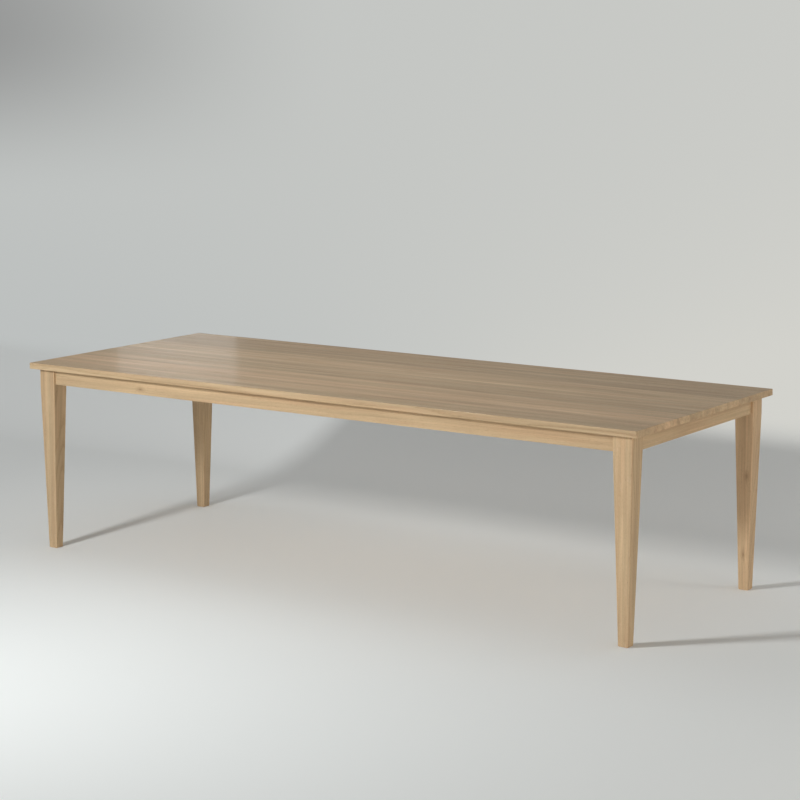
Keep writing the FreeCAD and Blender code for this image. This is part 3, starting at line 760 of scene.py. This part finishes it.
for corner, tone, blush in LEGS:
    leg = f"{corner}_leg"
    dress(leg, cut_from_tree(leg, UPRIGHT, tone, KNOTS.get(leg, ()), FRAME_LACQUER, STRAIGHT_GROWN,
                             FRAME_FIGURE, blush))
for side, grain in (("front", ALONG_X), ("back", ALONG_X), ("left", ALONG_Y), ("right", ALONG_Y)):
    apron = f"{side}_apron"
    dress(apron, cut_from_tree(apron, grain, APRON_TONE, KNOTS.get(apron, ()), FRAME_LACQUER,
                               figure=FRAME_FIGURE))
print("legs and aprons finished, knots:", {name: len(spots) for name, spots in KNOTS.items()})

# %% [markdown]
# ## What the top hides
# Under the top sit three cross rails, a block in each corner and twelve wooden buttons. They could share
# the finish of the aprons, but a joiner leaves such pieces planed and unpolished, so they get the same oak
# with no lacquer.

# %% Finish the inner oak
RAIL_TONE = 0.97
BLOCK_TONE = 0.95
BUTTON_TONE = 0.98

for number in (1, 2, 3):
    rail = f"cross_rail_{number}"
    dress(rail, cut_from_tree(rail, ALONG_Y, RAIL_TONE))
for corner, grain in (("front_left", (1, -1, 0)), ("front_right", (1, 1, 0)),
                      ("back_right", (1, -1, 0)), ("back_left", (1, 1, 0))):
    block = f"{corner}_block"
    dress(block, cut_from_tree(block, grain, BLOCK_TONE))
dress("top_buttons", cut_from_tree("top_buttons", ALONG_Y, BUTTON_TONE))
print("rails, blocks and buttons finished")

# %% [markdown]
# ## Where the screws sit
# Thirty-seven pan-head screws hold the buttons, the cross rails and the corner blocks. The drawing keeps
# them as plain eight-sided pins, three groups of them. Their places could be typed in again, but reading
# them from the drawing can't go wrong: each separate solid in a group is one screw, its longest side is
# its axis, and its wide end is the head.

# %% Find the screws in the drawing
HEAD_HEIGHT = 0.0028
WELD = 1e-6


def separate_solids(node):
    """The corner points of each separate solid in a node, as lists of vectors."""
    shell = bmesh.new()
    shell.from_mesh(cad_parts[node].data)
    bmesh.ops.remove_doubles(shell, verts=shell.verts, dist=WELD)
    solids = []
    visited = set()
    for start in shell.verts:
        if start in visited:
            continue
        visited.add(start)
        queue = [start]
        for corner in queue:
            fresh = [edge.other_vert(corner) for edge in corner.link_edges]
            fresh = [other for other in fresh if other not in visited]
            visited.update(fresh)
            queue.extend(fresh)
        solids.append([corner.co.copy() for corner in queue])
    shell.free()
    return solids


def screw_seat(points):
    """The neck of one screw, the way it points, and its length from neck to tip."""
    low = Vector(map(min, zip(*points)))
    high = Vector(map(max, zip(*points)))
    sides = high - low
    axis = max(range(3), key=lambda side: sides[side])
    middle = (low + high) / 2
    wide_end = max(points, key=lambda point: (point - middle).length - abs(point[axis] - middle[axis]))
    way = 1.0 if wide_end[axis] < middle[axis] else -1.0
    pointing = Vector([way if side == axis else 0.0 for side in range(3)])
    neck = middle - pointing * (sides[axis] / 2 - HEAD_HEIGHT)
    return neck, pointing, sides[axis] - HEAD_HEIGHT


seats = {group: [screw_seat(points) for points in separate_solids(group)]
         for group in ("button_screws", "rail_screws", "block_screws")}
print("screws found:", {group: len(found) for group, found in seats.items()})

# %% [markdown]
# ## Turning a screw
# A real pan-head screw is a domed head, a short plain neck, and a thread that winds to a point. Blender
# can spin a profile round an axis, but a thread isn't the same all the way round. So the screw is a stack
# of rings: the head's profile gives the first ones, and below them a ripple that moves round as it climbs
# gives the thread. The thread hides in the wood, so it gets just enough rings to be round.

# %% Turn the shank and the head
SEGMENTS = 20
PITCH = 0.0020
ROWS_PER_TURN = 4
CREST = 0.0020
ROOT = 0.0014
NECK = 0.004
POINT = 0.005
BLUNT_TIP = 0.12
SHANK_START = 0.001
MILLIMETRE = 0.001
# Each point of the head: distance from the axis and height, in millimetres
HEAD_PROFILE = ((1.5, -2.78), (2.6, -2.55), (3.4, -2.05), (3.85, -1.30), (4.0, -0.55), (3.92, -0.12),
                (3.75, 0.0), (1.85, 0.0), (1.70, 0.30))


def thread_radius(climb, angle, length):
    """How far the thread stands out at this height and angle, running out at the neck and the point."""
    ripple = 0.5 + 0.5 * math.cos(2.0 * math.pi * climb / PITCH - angle)
    start = min(1.0, max(0.0, (climb - NECK) / PITCH))
    taper = min(1.0, (length - climb) / POINT)
    return (ROOT + (CREST - ROOT) * ripple * start) * max(taper, BLUNT_TIP)


def round_point(reach, angle, climb):
    """A point at this distance from the axis, angle and height."""
    return Vector((reach * math.cos(angle), reach * math.sin(angle), climb))


def screw_rows(length):
    """Rings of points from the middle of the head to the tip."""
    angles = [2.0 * math.pi * step / SEGMENTS for step in range(SEGMENTS)]
    rows = [[round_point(reach * MILLIMETRE, angle, climb * MILLIMETRE) for angle in angles]
            for reach, climb in HEAD_PROFILE]
    turns = int((length - SHANK_START) / PITCH * ROWS_PER_TURN)
    for step in range(1, turns + 1):
        climb = SHANK_START + (length - SHANK_START) * step / turns
        rows.append([round_point(thread_radius(climb, angle, length), angle, climb) for angle in angles])
    return rows


print("screw head has", len(HEAD_PROFILE), "rings of", SEGMENTS, "points")

# %% [markdown]
# ### The cross recess
# The maker punches a cross with tapered arms into the head. A dark cross painted on would look flat from
# the side. So a small punch is made in the same way as the screws, as a stack of cross-shaped rings, and
# the next step cuts it out of the head.

# %% Skin the rings and make the punch
RECESS_REACH = 0.0021
RECESS_WIDTH = 0.0005
RECESS_DEPTH = 0.0018
RECESS_TAPER = 0.35
PUNCH_HEIGHT = 0.0032
PUNCH_FLARE = 1.15


def skin_rings(shell, rows):
    """Close a stack of rings into one watertight skin."""
    rings = [[shell.verts.new(point) for point in row] for row in rows]
    count = len(rings[0])
    for lower, upper in zip(rings, rings[1:]):
        for step in range(count):
            nxt = (step + 1) % count
            shell.faces.new((lower[step], lower[nxt], upper[nxt], upper[step]))
    shell.faces.new(list(reversed(rings[0])))
    shell.faces.new(rings[-1])
    bmesh.ops.recalc_face_normals(shell, faces=shell.faces)


def skinned_object(name, rows):
    """A mesh object made of skinned rings."""
    shell = bmesh.new()
    skin_rings(shell, rows)
    mesh = bpy.data.meshes.new(name)
    shell.to_mesh(mesh)
    shell.free()
    skinned = bpy.data.objects.new(name, mesh)
    bpy.context.collection.objects.link(skinned)
    return skinned


def cross_ring(climb, share):
    """The outline of a cross at this height; share narrows its arms."""
    reach = RECESS_REACH * share
    width = RECESS_WIDTH * (0.5 + 0.5 * share)
    quarter = [Vector(point) for point in ((reach, -width), (reach, width), (width, width))]
    turns = [Matrix.Rotation(math.pi / 2 * turn, 2) for turn in range(4)]
    turned = [turn @ point for turn in turns for point in quarter]
    return [Vector((point.x, point.y, climb)) for point in turned]


punch = skinned_object("recess_punch", [cross_ring(-PUNCH_HEIGHT, PUNCH_FLARE),
                                        cross_ring(-HEAD_HEIGHT, 1.0),
                                        cross_ring(-HEAD_HEIGHT + RECESS_DEPTH, RECESS_TAPER)])
print("recess punch has", len(punch.data.polygons), "faces")

# %% [markdown]
# ### One pattern for each length
# Screws of one length are all alike, so it would be a waste to turn each of them. One of each length is
# turned, its recess is cut with a boolean modifier, and the result is kept as a plain mesh to copy from.

# %% Make one screw of each length
LENGTH_DIGITS = 4


def turn_screw(length):
    """The finished mesh of one screw, its neck at the origin, pointing up."""
    blank = skinned_object("screw_blank", screw_rows(length))
    cut = blank.modifiers.new("recess", "BOOLEAN")
    cut.operation = "DIFFERENCE"
    cut.solver = "EXACT"
    cut.object = punch
    settled = bpy.context.evaluated_depsgraph_get()
    mesh = bpy.data.meshes.new_from_object(blank.evaluated_get(settled))
    bpy.data.objects.remove(blank)
    return mesh


patterns = {}
for found in seats.values():
    for neck, pointing, length in found:
        size = round(length, LENGTH_DIGITS)
        if size not in patterns:
            patterns[size] = turn_screw(size)
bpy.data.objects.remove(punch)
print("screw lengths in mm:", sorted(round(size * 1000, 1) for size in patterns))

# %% [markdown]
# ## Bright zinc on the screws
# Steel screws are plated with zinc: a pale grey metal, a little yellow, with small patches where the
# plating dulled. One even metal would do at arm's length, but close up it looks like chrome. Two noises
# take care of that: the first moves the colour and the gloss, the second gives a fine roughness.

# %% Plate the screws
ZINC_PALE = (0.66, 0.65, 0.61, 1.0)
ZINC_DULL = (0.47, 0.46, 0.43, 1.0)
PATCH_SCALE = 420.0
PATCH_LIMIT = (0.35, 0.7)
PATCH_DULLER = 0.35
ZINC_GLOSS = 0.18
SCRATCH_SCALE = 2600.0
SCRATCH_STRENGTH = 0.12
SCRATCH_DEPTH = 0.0001

zinc = bpy.data.materials.new("zinc_plate")
zinc.use_nodes = True
tree = zinc.node_tree
shader = tree.nodes["Principled BSDF"]
shader.inputs["Metallic"].default_value = 1.0
place = tree.nodes.new("ShaderNodeTexCoord").outputs["Object"]
patches = plain_noise(tree, place, PATCH_SCALE, 3.0)
plate = blend_colours(tree, fade(tree, patches, *PATCH_LIMIT), ZINC_PALE, ZINC_DULL)
tree.links.new(plate, shader.inputs["Base Color"])
dullness = work_out(tree, "MULTIPLY_ADD", patches, PATCH_DULLER, ZINC_GLOSS)
tree.links.new(dullness, shader.inputs["Roughness"])
scratches = plain_noise(tree, place, SCRATCH_SCALE, 2.0)
inputs = {"Height": scratches, "Strength": SCRATCH_STRENGTH, "Distance": SCRATCH_DEPTH}
tree.links.new(add_node(tree, "ShaderNodeBump", inputs).outputs["Normal"], shader.inputs["Normal"])
print("zinc mixed")

# %% [markdown]
# ### Driving the screws
# No two driven screws stop at the same angle. Thirty-seven separate objects would work, but the drawing
# keeps them in three groups, and so does this step: each group becomes one piece that takes the place of
# the plain pins. Every copy is turned to its axis and then by a chance angle round it.

# %% Drive the screws home
UP = Vector((0, 0, 1))


def drive_screws(group, found):
    """One piece with every screw of a group in its place, its recess turned by chance."""
    shell = bmesh.new()
    for neck, pointing, length in found:
        turn = UP.rotation_difference(pointing).to_matrix().to_4x4()
        turn = turn @ Matrix.Rotation(chance.uniform(0.0, math.pi / 2), 4, "Z")
        screw = patterns[round(length, LENGTH_DIGITS)].copy()
        screw.transform(Matrix.Translation(neck) @ turn)
        shell.from_mesh(screw)
        bpy.data.meshes.remove(screw)
    mesh = bpy.data.meshes.new(f"{group}_threaded")
    shell.to_mesh(mesh)
    shell.free()
    mesh.materials.append(zinc)
    piece = bpy.data.objects.new(f"{group}_threaded", mesh)
    bpy.context.collection.objects.link(piece)
    return piece


for group, found in seats.items():
    piece = drive_screws(group, found)
    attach(piece, "root")
    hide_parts(group)
    print(group, "driven:", len(piece.data.polygons), "faces")
